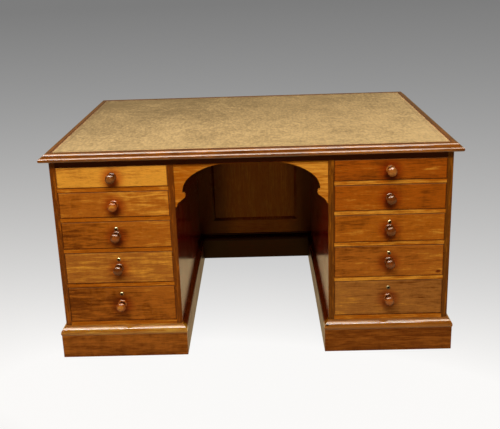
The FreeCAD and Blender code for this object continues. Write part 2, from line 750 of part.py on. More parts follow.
def keyhole(side, number, title):
    """The eye and slot of a keyhole, through the front and the lock."""
    foot, tall = drawer_front_sizes(number)
    front = carcass_front - size["overrun"]
    depth = size["front_thickness"] + size["overrun"] - size["lock_plate"]
    across, level = drawer_middle(side), foot + tall - size["key_drop"]
    eye = cylinder(f"{title}_eye", (across, front, level), size["key_round"], depth, Y)
    slot = box(f"{title}_slot", (across - size["key_slot_width"] / 2, front,
                                 level - size["key_slot_drop"]),
               (size["key_slot_width"], depth, size["key_slot_drop"]))
    return fuse(title, [eye, slot])


def make_lock(side, number):
    """Cut drawer lock: case, back plate and top plate in one, with its slot for the bolt, and
    the round escutcheon in the face. Returns the pieces that the front is cut for."""
    name = f"{side}_drawer_{number}"
    foot, tall = drawer_front_sizes(number)
    top, back = foot + tall, carcass_front + size["front_thickness"]
    across, plate = drawer_middle(side), size["lock_plate"]
    half, margin = size["lock_width"] / 2, size["lock_plate_margin"]
    depth = size["lock_depth"]
    case = box(f"{name}_case", (across - half, back - depth, top - size["lock_height"]),
               (size["lock_width"], depth, size["lock_height"]))
    rear_height = size["lock_height"] + size["lock_plate_drop"]
    rear = box(f"{name}_rear_plate", (across - half - margin, back - plate, top - rear_height),
               (size["lock_width"] + margin * 2, plate, rear_height))
    selvedge = box(f"{name}_selvedge", (across - half - margin, back - depth, top - plate),
                   (size["lock_width"] + margin * 2, depth, plate))
    body = fuse(f"{name}_lock_body", [case, rear, selvedge])
    key = keyhole(side, number, f"{name}_keyhole")
    level = top - size["key_drop"]
    rim, radius = size["escutcheon_rim"], size["escutcheon_radius"]
    disc = cylinder(f"{name}_disc", (across, carcass_front - rim, level), radius,
                    rim + size["escutcheon_thickness"], Y)
    bevel = doc.addObject("Part::Cone", f"{name}_bevel")
    bind(bevel, "Radius1", radius)
    bind(bevel, "Radius2", radius - size["escutcheon_bevel"])
    bind(bevel, "Height", size["escutcheon_rise"])
    place(bevel, (across, carcass_front - rim, level), Rotation(Z, -Y))
    lock = cut(f"{name}_lock_case", body, [bolt_room(side, number, "slot"), key])
    ring_piece = cut(f"{name}_escutcheon", fuse(f"{name}_escutcheon_blank", [disc, bevel]),
                     [key])
    node(f"{name}_lock", group(f"{name}_lock", [lock, ring_piece]))
    node(f"{name}_bolt", bolt_room(side, number, "bolt"))
    return [body, disc, key]


def make_knob(side, number):
    """Turned knob with a peg; its sketch holds half its outline and turns about Y. The crown
    runs smoothly into the rim, and the rim into the straight underside of the head. It is
    at the middle of the front, or just under the escutcheon where that reaches further."""
    name = f"{side}_drawer_{number}_knob"
    foot, tall = drawer_front_sizes(number)
    reach, widest, rim = size["knob_reach"], size["knob_widest"], size["knob_rim"]
    neck, neck_top = size["knob_radius"] - rim, size["knob_neck_top"]
    spigot = size["front_thickness"] - size["knob_spigot_cover"]
    collar, collar_radius = size["knob_collar"], size["knob_collar_radius"]
    rounding = size["knob_collar_round"]
    rise, swell = reach - widest, widest - neck_top
    crown = (rise * rise + neck * neck - rim * rim) / ((rise - rim) * 2)
    crown_edge = (neck + rim * neck / (crown - rim),
                  -widest - rim * (crown - rise) / (crown - rim))
    rim_foot = (neck + rim * root(swell * swell - rim * rim) / swell,
                -widest + rim * rim / swell)
    outline = ((0, -reach), crown_edge + (crown,), rim_foot + (rim,), (neck, -neck_top),
               (neck, -collar), (collar_radius - rounding, -collar),
               (collar_radius, rounding - collar, rounding),
               (collar_radius, 0), (size["knob_spigot_radius"], 0),
               (size["knob_spigot_radius"], spigot), (0, spigot))
    body = doc.addObject("PartDesign::Body", name)
    turned = body.newObject("PartDesign::Revolution", f"{name}_turned")
    sketch = body_sketch(body, "XY_Plane", outline)
    turned.Profile = sketch
    turned.ReferenceAxis = (sketch, ["V_Axis"])
    drop = tall / 2
    if number >= FIRST_LOCKED_DRAWER:
        drop = larger(drop, size["key_drop"] + size["escutcheon_radius"]
                      + size["knob_key_gap"] + collar_radius)
    place(body, (drawer_middle(side), carcass_front, foot + tall - drop))
    return node(name, body)


def dovetailed_side(name, left, foot, tall, front, length):
    """A drawer side with lapped tails at its front end and through tails at its back end."""
    thickness = size["lining_thickness"]
    lapped = size["front_thickness"] - size["dovetail_lap"]
    shoulder = front + size["front_thickness"]
    back = front + length
    blank = box(f"{name}_blank", (left, shoulder, foot),
                (thickness, back - thickness - shoulder, tall))
    wanted = round(number_of(tall) / number_of(size["dovetail_pitch"]))
    count = max(DOVETAILS_AT_LEAST, wanted)
    pitch = tall / count
    wide = pitch - size["dovetail_pin"]
    tails = []
    for end, reach, start in (("front", lapped, shoulder), ("back", thickness, back - thickness)):
        narrow = wide - reach * 2 / DOVETAIL_SLOPE
        toward = -Y if end == "front" else Y
        turn = Rotation(Z, toward, Z.cross(toward), "ZXY")
        offset = 0 if end == "back" else thickness
        for index in range(count):
            middle = foot + pitch * (index + 0.5)
            tail = wedge(f"{name}_{end}_tail_{index + 1}", (-narrow / 2, narrow / 2),
                         (-wide / 2, wide / 2), reach, thickness, rotation=turn)
            corner_x = left + thickness if turn.multVec(Z).x < 0 else left
            tails.append(place(tail, (corner_x, start, middle), turn))
    return fuse(f"{name}_whole", [blank] + tails)


def make_drawer(side, number):
    """Front, dovetailed box, knob and, on the lower drawers, lock with bolt and escutcheon."""
    name = f"{side}_drawer_{number}"
    foot, tall = drawer_front_sizes(number)
    lining = tall - size["lining_drop"]
    gap, thickness = size["drawer_gap"], size["lining_thickness"]
    start = opening_start[side] + gap
    width = opening_width - gap * 2
    back = carcass_front + drawer_length
    knob = make_knob(side, number)
    fitted = [knob]
    if number >= FIRST_LOCKED_DRAWER:
        fitted += make_lock(side, number)
    bottom_foot = foot + size["drawer_bottom_rise"]
    groove = size["drawer_groove"]
    bottom_front = carcass_front + size["front_thickness"] - groove
    bottom = box(f"{name}_bottom", (start + thickness - groove, bottom_front, bottom_foot),
                 (width - thickness * 2 + groove * 2, back - bottom_front, size["drawer_bottom"]))
    lefts = (start, start + width - thickness)
    sides = [dovetailed_side(f"{name}_side_{hand}", left, foot, lining, carcass_front,
                             drawer_length)
             for hand, left in enumerate(lefts, start=1)]
    bottom_top = bottom_foot + size["drawer_bottom"]
    rear_blank = box(f"{name}_rear_blank", (start, back - thickness, bottom_top),
                     (width, thickness, foot + lining - size["drawer_back_drop"] - bottom_top))
    rear = cut(f"{name}_rear", rear_blank, sides)
    grooved = [cut(f"{name}_side_{hand}", board, [bottom])
               for hand, board in enumerate(sides, start=1)]
    node(f"{name}_box", group(f"{name}_box", grooved + [rear, bottom]))
    blank = pad_body(f"{name}_board", (start, carcass_front, foot), rectangle(width, tall),
                     size["front_thickness"])
    ease_edges(blank, lambda at: near(at.y, 0), size["arris_round"])
    node(f"{name}_front", cut(f"{name}_front", blank, sides + [bottom] + fitted))


def check_and_export():
    """Stop at any failed object, then write one STEP file for each node."""
    doc.recompute()
    failed = [thing.Name for thing in doc.Objects
              if "Invalid" in thing.State or "Error" in thing.State]
    failed += [thing.Label for thing in nodes if thing.Shape.isNull() or not thing.Shape.isValid()]
    if failed:
        raise RuntimeError("failed objects: " + ", ".join(failed))
    os.makedirs("parts", exist_ok=True)
    for thing in nodes:
        thing.Shape.exportStep(f"parts/{thing.Label}.step")
    print(len(nodes), "nodes,", sum(len(thing.Shape.Solids) for thing in nodes), "solids")


make_top()
make_sides([make_rails(), make_runners(), make_dust_boards(), make_frieze()])
make_stops()
make_backs()
make_plinth()
make_glue_blocks()
make_apron()
for pedestal in (LEFT, RIGHT):
    for drawer in range(1, len(OPENING_SHARES) + 1):
        make_drawer(pedestal, drawer)
check_and_export()
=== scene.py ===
import math

import bmesh
import bpy
from bpy.props import FloatProperty, FloatVectorProperty, PointerProperty
from mathutils import Matrix, Vector


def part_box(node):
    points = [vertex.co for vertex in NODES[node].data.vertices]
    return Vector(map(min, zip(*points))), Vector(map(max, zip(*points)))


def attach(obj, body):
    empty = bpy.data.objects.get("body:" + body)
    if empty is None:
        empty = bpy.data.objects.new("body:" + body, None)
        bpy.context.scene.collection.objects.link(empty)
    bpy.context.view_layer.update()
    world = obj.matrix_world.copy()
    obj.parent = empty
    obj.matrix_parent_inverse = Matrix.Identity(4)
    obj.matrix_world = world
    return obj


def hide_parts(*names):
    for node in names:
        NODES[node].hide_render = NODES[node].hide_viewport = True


bl_info = {
    "name": "Kneehole Library Desk",
    "version": (1, 0, 0),
    "blender": (4, 5, 0),
    "location": "View3D > Sidebar > Desk",
    "description": "Polish, leather, brass and studio for a kneehole library desk",
    "category": "Object",
}

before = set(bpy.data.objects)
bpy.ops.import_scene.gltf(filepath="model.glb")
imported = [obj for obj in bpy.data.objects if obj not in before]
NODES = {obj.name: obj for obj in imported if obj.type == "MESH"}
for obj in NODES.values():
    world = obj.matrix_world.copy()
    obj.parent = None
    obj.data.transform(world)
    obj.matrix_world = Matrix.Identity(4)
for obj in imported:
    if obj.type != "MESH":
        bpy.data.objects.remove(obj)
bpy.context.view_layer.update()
SIDES = ("left", "right")
DRAWERS = (1, 2, 3, 4, 5)
LOCKED_DRAWERS = (3, 4, 5)
CARCASS_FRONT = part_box("left_pedestal_sides")[0].y
KNEE_HALF = -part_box("left_pedestal_sides")[1].x
# Sizes that no box of the frame gives. A drawer's side has half a millimetre to spare, and the
# last runs from the rear of the back frames to the middle of the kneehole's back.
SIDE_BOARD = 0.021
BACK_STILE = 0.062
DRAWER_SIDE = 0.0105
PLINTH_PROUD = 0.017
KNEE_BACK_IN = 0.068
# A little more than the gap or rounding where two faces meet.
SPARE = 0.001


def size_field(label, description, default):
    return FloatProperty(name=label, description=description, default=default, min=0.0,
                         subtype="DISTANCE", unit="LENGTH", precision=4)


def colour_field(label, description, default):
    return FloatVectorProperty(name=label, description=description, default=default,
                               size=3, min=0.0, max=1.0, subtype="COLOR")


def share_field(label, description, default):
    return FloatProperty(name=label, description=description, default=default,
                         min=0.0, max=1.0, subtype="FACTOR")


class DESK_PG_wood(bpy.types.PropertyGroup):
    """Colours and polish of the mahogany and the plain woods inside."""

    gold: colour_field("Gold", "Palest streaks of the mahogany", (0.61, 0.255, 0.026))
    orange: colour_field("Orange", "Main colour of the mahogany", (0.34, 0.085, 0.003))
    red: colour_field("Red", "Main colour of the redder boards", (0.27, 0.050, 0.002))
    brown: colour_field("Brown", "Dark streaks of the mahogany", (0.11, 0.022, 0.001))
    # Pale top edges of the fronts, rubbed and partly a painted highlight.
    rubbed: colour_field("Rubbed", "Top edges of the fronts", (0.62, 0.33, 0.12))
    faded: colour_field("Faded", "Main colour of the faded boards", (0.29, 0.105, 0.018))
    # The kneehole's boards take this dark red as painted shade.
    shade: colour_field("Dark red", "Boards of the kneehole", (0.150, 0.004, 0.002))
    lining: colour_field("Lining", "Bare oak of the drawer boxes", (0.40, 0.25, 0.12))
    inside: colour_field("Inside", "Old pine of the runners and blocks", (0.36, 0.22, 0.11))
    polish: share_field("Polish", "Roughness of the polished mahogany", 0.3)
    # The dark outline of a front is dirt and painted shade of the gap round it.
    soiled_and_shaded_edge: size_field("Soiled edge", "Width of the dark outline of a front", 0.004)
    # The soiled patch round a knob is set low, so it is partly painted shade.
    soiled_and_shaded_reach: size_field("Soiled reach", "Radius of the soiled patch round a knob", 0.055)


class DESK_PG_leather(bpy.types.PropertyGroup):
    """Colours and tooling of the writing leather."""

    gold: colour_field("Gold", "Worn parts of the leather", (0.55, 0.360, 0.15))
    olive: colour_field("Olive", "Unworn parts of the leather", (0.225, 0.145, 0.058))
    line: colour_field("Tooled line", "Ink left in the tooled lines", (0.14, 0.05, 0.02))
    line_inset: size_field("Line inset", "Edge of the leather to its first line", 0.011)
    line_width: size_field("Line width", "Width of a tooled line", 0.0016)
    line_depth: size_field("Line depth", "Depth of a tooled line", 0.0003)
    line_gap: size_field("Line gap", "Space between the two lines", 0.005)
    body: size_field("Leather", "Thickness of the leather", 0.0011)


class DESK_PG_metal(bpy.types.PropertyGroup):
    """Colours of the locks."""

    brass: colour_field("Brass", "Rubbed brass", (0.50, 0.40, 0.22))
    patina: colour_field("Patina", "Brass gone olive brown", (0.16, 0.13, 0.06))
    steel: colour_field("Steel", "Bolts", (0.36, 0.35, 0.33))
    screw_head: size_field("Screw head", "Radius of a lock screw's head", 0.0028)
    screw_slot: size_field("Screw slot", "Width of the slot in that head", 0.001)


class DESK_PG_stage(bpy.types.PropertyGroup):
    """Floor and backdrop."""

    far_level: share_field("Far level", "Brightness far behind the desk", 0.178)
    tan: colour_field("Tan", "Floor as the polish reflects it", (0.92, 0.68, 0.36))
    fade: size_field("Fade", "Distance over which the floor gets darker", 0.87)
    floor_radius: size_field("Floor radius", "Radius of the studio floor", 20.0)
    cove_radius: size_field("Cove radius", "Rounding from floor to wall", 4.0)
    wall_height: size_field("Wall height", "Straight wall above the cove", 4.0)


class Signal:
    """A node's output whose operators add Math nodes."""

    def __init__(self, finish, socket):
        self.finish = finish
        self.socket = socket

    def __add__(self, other):
        return self.finish.maths("ADD", self, other)

    def __radd__(self, other):
        return self.finish.maths("ADD", other, self)

    def __sub__(self, other):
        return self.finish.maths("SUBTRACT", self, other)

    def __rsub__(self, other):
        return self.finish.maths("SUBTRACT", other, self)

    def __mul__(self, other):
        return self.finish.maths("MULTIPLY", self, other)

    def __rmul__(self, other):
        return self.finish.maths("MULTIPLY", other, self)

    def __rtruediv__(self, other):
        return self.finish.maths("DIVIDE", other, self)

    def __pow__(self, other):
        return self.finish.maths("POWER", self, other)

    def __lt__(self, other):
        return self.finish.maths("LESS_THAN", self, other)

    def __gt__(self, other):
        return self.finish.maths("GREATER_THAN", self, other)

    def __abs__(self):
        return self.finish.maths("ABSOLUTE", self)


# The Mix node has two inputs and an output of its own for each type of data.
MIX_SOCKETS = {"VECTOR": (4, 5, 1), "RGBA": (6, 7, 2)}


class Finish:
    """A node material made from expressions. What is the same all over goes on the shader."""

    def __init__(self, name, **constants):
        self.material = bpy.data.materials.new(name)
        self.material.use_nodes = True
        self.tree = self.material.node_tree
        self.shader = self.tree.nodes["Principled BSDF"]
        for socket, value in constants.items():
            self.shader.inputs[socket.replace("_", " ")].default_value = value
        self.point = self.node("TexCoord", output="Object")
        self.x, self.y, self.z = (self.node("SeparateXYZ", inputs={"Vector": self.point},
                                            output=axis) for axis in "XYZ")

    def node(self, kind, settings=None, inputs=None, output=0):
        """Add a node: its settings first, then the values or links of its sockets."""
        made = self.tree.nodes.new("ShaderNode" + kind)
        for key, value in (settings or {}).items():
            setattr(made, key, value)
        for key, value in (inputs or {}).items():
            if isinstance(value, Signal):
                self.tree.links.new(value.socket, made.inputs[key])
            else:
                made.inputs[key].default_value = value
        return Signal(self, made.outputs[output])

    def maths(self, operation, first, second=0.0, clamped=False):
        return self.node("Math", {"operation": operation, "use_clamp": clamped},
                         {0: first, 1: second})

    def clamp(self, value):
        return self.maths("ADD", value, 0.0, clamped=True)

    def smallest(self, first, *others):
        for other in others:
            first = self.maths("MINIMUM", first, other)
        return first

    def rise(self, value, low, high):
        """0 below low, 1 above high and smooth between; low may be the larger."""
        return self.node("MapRange", {"interpolation_type": "SMOOTHSTEP"},
                         {"Value": value, "From Min": low, "From Max": high})

    def right_side(self, blur):
        """0 on the left and 1 on the right, and between them within blur of the middle."""
        return self.rise(self.x, -blur, blur)

    def placed(self, scale=(1, 1, 1), shift=(0, 0, 0)):
        return self.node("Mapping", None, {"Vector": self.point, "Scale": scale,
                                           "Location": shift})

    def noise(self, where, scale, detail=3.0, roughness=0.5, distortion=0.0):
        """Noise round zero, mostly between minus and plus one fifth."""
        return self.node("TexNoise", None, {"Vector": where, "Scale": scale, "Detail": detail,
                                            "Roughness": roughness,
                                            "Distortion": distortion}) - 0.5

    def mix(self, kind, share, first, second, mode="MIX"):
        one, two, output = MIX_SOCKETS[kind]
        return self.node("Mix", {"data_type": kind, "blend_type": mode},
                         {0: share, one: first, two: second}, output)

    def blend(self, share, first, second, mode="MIX"):
        """A colour that runs from first to second."""
        opaque = [value if isinstance(value, Signal) else (*value, 1.0)
                  for value in (first, second)]
        return self.mix("RGBA", share, *opaque, mode)

    def stain(self, share, colour, tint):
        """A colour under a glaze of the given tint."""
        return self.blend(share, colour, tint, "MULTIPLY")

    def dim(self, colour, level):
        """A colour times a number."""
        return self.node("VectorMath", {"operation": "SCALE"}, {0: colour, "Scale": level})

    def reach(self, across, along):
        """Distance from where both numbers are zero."""
        return (across ** 2.0 + along ** 2.0) ** 0.5

    def feed(self, socket, value):
        self.tree.links.new(value.socket, self.shader.inputs[socket])

    def bump(self, height, distance, strength=1.0):
        self.feed("Normal", self.node("Bump", None, {"Height": height, "Distance": distance,
                                                     "Strength": strength}))


AXIS_NUMBER = {"X": 0, "Y": 1, "Z": 2}
GRAIN_STRETCH = 1 / 11
WAX = (1.0, 0.55, 0.2, 1.0)
# Dirt, scrapes and a dark joint; painted shade over the plinth's moulding and on its lip; and the
# darker foot of the plinth.
DIRT_AND_SHADE = (0.42, 0.26, 0.20)
# Dirt from hands; round a knob, set low, it is partly painted shade.
HANDLING_AND_SHADE = (0.62, 0.24, 0.15)
# Painted shade in the neck of a knob, and dirt and painted shade round a keyhole.
HOLLOW_SHADE_AND_DIRT = (0.15, 0.10, 0.08)
# Painted shade; also the dark outline of the fronts and the tint of a knot.
SHADED = (0.30, 0.12, 0.10)
# Deep painted shade, with dirt in the gaps at the fronts.
DEEP_SHADE_AND_DIRT = (0.13, 0.02, 0.02)
# Painted shade under the overhanging top.
OVERHANG_SHADE = (0.35, 0.06, 0.25)
OLIVE_CAST = (0.80, 0.95, 1.0)
KNOCKED = (0.06, 0.04, 0.03)
# How deep the look of a board's edge goes into it, and half the width of a joint in it.
THIN = (0.0016, 0.0006)
# Where across the kneehole its back catches the most light, and how far from the rear of the
# plinth the shade begins and is full.
KNEE_LIGHT = 0.03
KNEE_SHADE = (0.2, 0.12)
# How far the darkening reaches: painted shade over the plinth's moulding, a darker band up from
# the floor, painted shade up from the lip of that moulding, grime in from the edge of the leather
# and, as a pair, out from it.
CORNER_SHADE = 0.014
FOOT_DARKENING = 0.035
LIP_SHADE = 0.006
HIDE_GRIME = 0.004
BORDER_GRIME = (-0.008, -0.002)
# The knock in the plinth's moulding: its middle from the corner, and where it ends and is full.
CHIP_IN = Vector((0.012, 0.002, -0.012))
CHIP = (0.007, 0.004)


def stretched(finish, axis, seed):
    """Coordinates that run slowly along the grain, moved on by a seed of their own."""
    scale = [1.0, 1.0, 1.0]
    scale[AXIS_NUMBER[axis]] = GRAIN_STRETCH
    return finish.placed(scale, (seed * 0.37, seed * 0.71, seed * 0.53))


def run_along(axis):
    return lambda finish, seed: stretched(finish, axis, seed)


def either(finish, mask, first, second):
    """Coordinates that are first where the mask is 1 and second where it is 0."""
    return finish.mix("VECTOR", mask, second, first)


def edge_distance(finish, low, high, axes):
    """Distance inside the nearest of a box's faces on the given axes."""
    coordinates = {"X": finish.x, "Y": finish.y, "Z": finish.z}
    found = []
    for axis in axes:
        place, index = coordinates[axis], AXIS_NUMBER[axis]
        found += [place - low[index], high[index] - place]
    return finish.smallest(*found)


def between(first, second, share):
    return tuple(a + (b - a) * share for a, b in zip(first, second))


class Mahogany(Finish):
    """Polished mahogany, streaked along its grain from dark through middle to pale."""

    def __init__(self, name, grain, seed, roughness, coat=0.0, gloss=0.25):
        super().__init__(name, IOR=1.5, Specular_IOR_Level=gloss, Specular_Tint=WAX,
                         Coat_Weight=coat, Coat_Roughness=0.08)
        self.roughness = roughness
        self.where = grain(self, seed)
        self.pores = self.rise(self.noise(self.where, 1300.0, 2.0), 0.09, 0.2)
        self.fine = self.noise(self.where, 480.0, 2.0)

    def streaks(self, dark, middle, pale, lean, contrast=0.6, mottle=0.0):
        """Colour of the figured wood. lean moves it towards pale or dark, and mottle is the
        strength of the bands that lie across the grain."""
        broad = self.noise(self.where, 8.0, 2.0, distortion=0.5)
        streak = self.noise(self.where, 80.0, 4.0, 0.65, 0.35)
        thread = self.noise(self.where, 230.0, 3.0, 0.6)
        tone = (broad * 0.9 + streak * 1.4 + thread * 1.4) * contrast + lean + 0.5
        if mottle:
            band = self.noise(self.placed((1.0, 1.0, 0.3)), 75.0, 3.0, 0.6)
            patch = self.noise(self.placed((0.6, 1.0, 1.0)), 24.0, 3.0, 0.6, 0.4)
            tone = tone + (band * 0.5 + patch * 1.3) * mottle
        under = self.blend(self.rise(tone, -0.05, 0.5), dark, middle)
        colour = self.blend(self.rise(tone, 0.5, 1.05), under, pale)
        return self.dim(colour, 1.0 + self.fine * 0.5 - self.pores * 0.35)

    def finished(self, colour):
        """Feed the colour, with the gloss and the pores of a hand-rubbed polish."""
        self.feed("Base Color", colour)
        smear = self.noise(self.point, 13.0, 3.0)
        self.feed("Roughness", self.clamp(self.roughness + smear * 0.25 + self.pores * 0.15))
        ripple = self.noise(self.point, 18.0, 1.0)
        self.bump(self.fine * 0.25 - self.pores + ripple * 0.8, 0.00012, 0.6)
        return self.material


def paint(name, material):
    """Give a CAD node its material."""
    slots = NODES[name].data.materials
    slots.clear()
    slots.append(material)


# For each front from the top down: lean to pale at its left and right end, and how red or,
# below zero, how faded it is.
FRONT_TONES = {
    "left": ((0.38, 0.50, -0.4), (0.02, 0.23, -0.2), (-0.27, 0.06, -0.2), (0.13, 0.2, -0.6),
             (-0.38, -0.08, -0.3)),
    "right": ((-0.2, -0.18, 0.7), (-0.03, -0.15, 0.5), (0.03, 0.14, -0.1), (-0.19, 0.0, -0.3),
              (0.11, -0.06, -1.0)),
}
# Marks on the fronts: the soiled patch round a knob, set low so that it is partly painted shade,
# the painted shadow under it, the rubbed top edge, which is partly a painted highlight, the
# painted shade of the gap over it and a knot. A pair says where a mark ends and where it is full.
PATCH_SHADE_DROP = 0.005
PATCH_CORE = 0.018
SHADOW_DROP = 0.02
SHADOW = (0.028, 0.010)
RUBBED_AND_LIT_EDGE = (0.0026, 0.001)
GAP_LINE = (0.0014, 0.0006)
RAIL_LINE = (0.0034, 0.0010)
KNOTTED_FRONT = "right_drawer_4_front"
KNOT_X = 0.653
KNOT_HEIGHT = 0.015
KNOT = (0.0075, 0.003)
# From the top of a front down to its keyhole, the radius of the eye, round which the brass is
# darkened with dirt and painted shade, and the depth of brass that is rubbed.
KEY_DROP = 0.0275
KEY_EYE = 0.0042
KEY_RUBBED = 0.004
# The lock screws: across from the keyhole, down from the lock's top, in from its back, then the
# thickness of a head, how far it stands proud and its sides.
SCREW_ACROSS = 0.026
SCREW_DROPS = (0.008, 0.038)
SCREW_IN = 0.0052
SCREW_THICKNESS = 0.0012
SCREW_PROUD = 0.0005
SCREW_SIDES = 24
KNOB_POLISH = 0.2
KNOB_COAT = 0.8
# For each knob from the top down: its lean to pale, and how faded it is.
KNOB_TONES = {
    "left": ((-0.3, 0.9), (0.2, 0.0), (-0.3, 0.3), (-0.6, 0.3), (0.15, 0.2)),
    "right": ((0.05, 0.6), (-0.5, 0.2), (-0.7, 0.4), (-0.4, 0.0), (-0.1, 0.3)),
}


class DESK_OT_drawer_fronts(bpy.types.Operator):
    """Polish the ten drawer fronts, each with grain and a tone of its own"""

    bl_idname = "desk.drawer_fronts"
    bl_label = "Drawer fronts"

    def execute(self, context):
        wood = context.scene.desk_wood
        for side_index, side in enumerate(SIDES):
            for number in DRAWERS:
                name = f"{side}_drawer_{number}_front"
                low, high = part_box(name)
                start, end, redness = FRONT_TONES[side][number - 1]
                finish = Mahogany(f"front_{side}_{number}", run_along("X"),
                                  number + 7.0 * side_index, wood.polish)
                lean = start + finish.rise(finish.x, low.x, high.x) * (end - start)
                toward = wood.red if redness > 0 else wood.faded
                middle = between(wood.orange, toward, abs(redness))
                colour = finish.streaks(wood.brown, middle, wood.gold, lean, 0.7, 0.5)
                colour = self.knob_marks(finish, wood, colour, side, number)
                colour = self.edge_marks(finish, wood, colour, low, high)
                if name == KNOTTED_FRONT:
                    colour = self.knot(finish, colour, low.z)
                paint(name, finish.finished(colour))
        return {"FINISHED"}

    def knob_marks(self, finish, wood, colour, side, number):
        """A soiled patch round the knob, set low so that it is partly painted shade, and its
        painted shadow, which is faint on the lower fronts.
        """
        low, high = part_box(f"{side}_drawer_{number}_knob")
        knob = (low + high) / 2
        # The soiled patch is set low, so it is partly painted shade; under it is a painted
        # shadow.
        around = finish.reach(finish.x - knob.x, finish.z - knob.z + PATCH_SHADE_DROP)
        handled_and_shaded = finish.rise(around, wood.soiled_and_shaded_reach, PATCH_CORE)
        colour = finish.stain(handled_and_shaded * 0.8, colour, HANDLING_AND_SHADE)
        under = finish.reach(finish.x - knob.x, (finish.z - knob.z + SHADOW_DROP) * 0.8)
        depth = 0.9 if number < 4 else 0.4
        return finish.stain(finish.rise(under, *SHADOW) * depth, colour, SHADED)

    def edge_marks(self, finish, wood, colour, low, high):
        """A dark outline at the sides and the foot, dirt and painted shade of the gaps; at the
        top a rubbed edge, partly a painted highlight, and painted shade in the gap.
        """
        inside = finish.smallest(edge_distance(finish, low, high, "X"), finish.z - low.z)
        outline = finish.rise(inside, wood.soiled_and_shaded_edge, 0.0)
        # Dirt and painted shade of the gaps round the front.
        colour = finish.stain(outline * 0.8, colour, SHADED)
        rubbed = finish.rise(high.z - finish.z, *RUBBED_AND_LIT_EDGE)
        # The rubbed top edge is partly a painted highlight.
        colour = finish.blend(rubbed * 0.25, colour, wood.rubbed)
        finish.roughness = wood.polish + rubbed * 0.25
        # Painted shade in the gap over the front.
        gap = finish.rise(high.z - finish.z, *GAP_LINE)
        return finish.stain(gap * 0.85, colour, DEEP_SHADE_AND_DIRT)

    def knot(self, finish, colour, foot):
        """A small dark knot near the lower right corner."""
        around = finish.reach((finish.x - KNOT_X) * 0.6, finish.z - foot - KNOT_HEIGHT)
        ragged = around + finish.noise(finish.point, 220.0) * 0.008
        return finish.stain(finish.rise(ragged, *KNOT), colour, SHADED)


class DESK_OT_knobs(bpy.types.Operator):
    """Polish the turned knobs, rubbed at the crown and with painted shade in the neck"""

    bl_idname = "desk.knobs"
    bl_label = "Knobs"

    def execute(self, context):
        wood = context.scene.desk_wood
        for side in SIDES:
            for number in DRAWERS:
                name = f"{side}_drawer_{number}_knob"
                low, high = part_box(name)
                centre, radius = (low + high) / 2, (high.x - low.x) / 2
                lean, faded = KNOB_TONES[side][number - 1]
                finish = Mahogany(f"knob_{side}_{number}", run_along("X"), 90.0 + number,
                                  KNOB_POLISH, coat=KNOB_COAT)
                around = finish.reach(finish.x - centre.x, finish.z - centre.z)
                crown = finish.rise(around, radius * 0.95, radius * 0.45)
                head = finish.rise(finish.y, low.y + radius * 1.1, low.y + radius * 0.7)
                neck = finish.rise(around, radius * 0.8, radius * 0.6) * (1.0 - head)
                middle = between(wood.red, wood.faded, faded)
                colour = finish.streaks(wood.brown, middle, wood.gold,
                                        crown * head * 0.3 + (lean - 0.3), 0.5)
                # Painted shade in the neck.
                colour = finish.stain(neck, colour, HOLLOW_SHADE_AND_DIRT)
                low_rim = finish.rise(centre.z - finish.z, 0.0, radius * 0.7)
                finish.feed("Coat Weight", KNOB_COAT - low_rim * 0.7)
                paint(name, finish.finished(colour))
        return {"FINISHED"}


